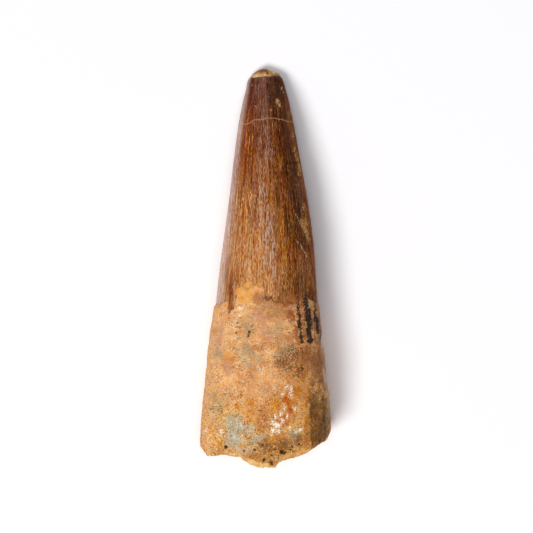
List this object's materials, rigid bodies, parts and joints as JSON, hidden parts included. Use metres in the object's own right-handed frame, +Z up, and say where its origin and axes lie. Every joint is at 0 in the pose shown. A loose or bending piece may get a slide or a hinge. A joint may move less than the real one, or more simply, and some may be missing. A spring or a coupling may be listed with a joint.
{
  "type": "fossil dinosaur tooth",
  "caption": "Long, nearly straight conical fossil theropod tooth with a glossy brown crown, an ochre root, a worn tip and a broken base, lying on one side.",
  "frame": {"origin": "centre of the underside of the tooth's bounding box, on the surface that the tooth rests on", "axes": "+Y along the tooth towards its tip, +X across its width, +Z up from the surface that it rests on"},
  "size_m": [0.0328, 0.1, 0.0254],
  "materials": {
    "fossil": "satin"
  },
  "bodies": {
    "root": {"fossil_tooth": "fossil"}
  },
  "joints": []
}
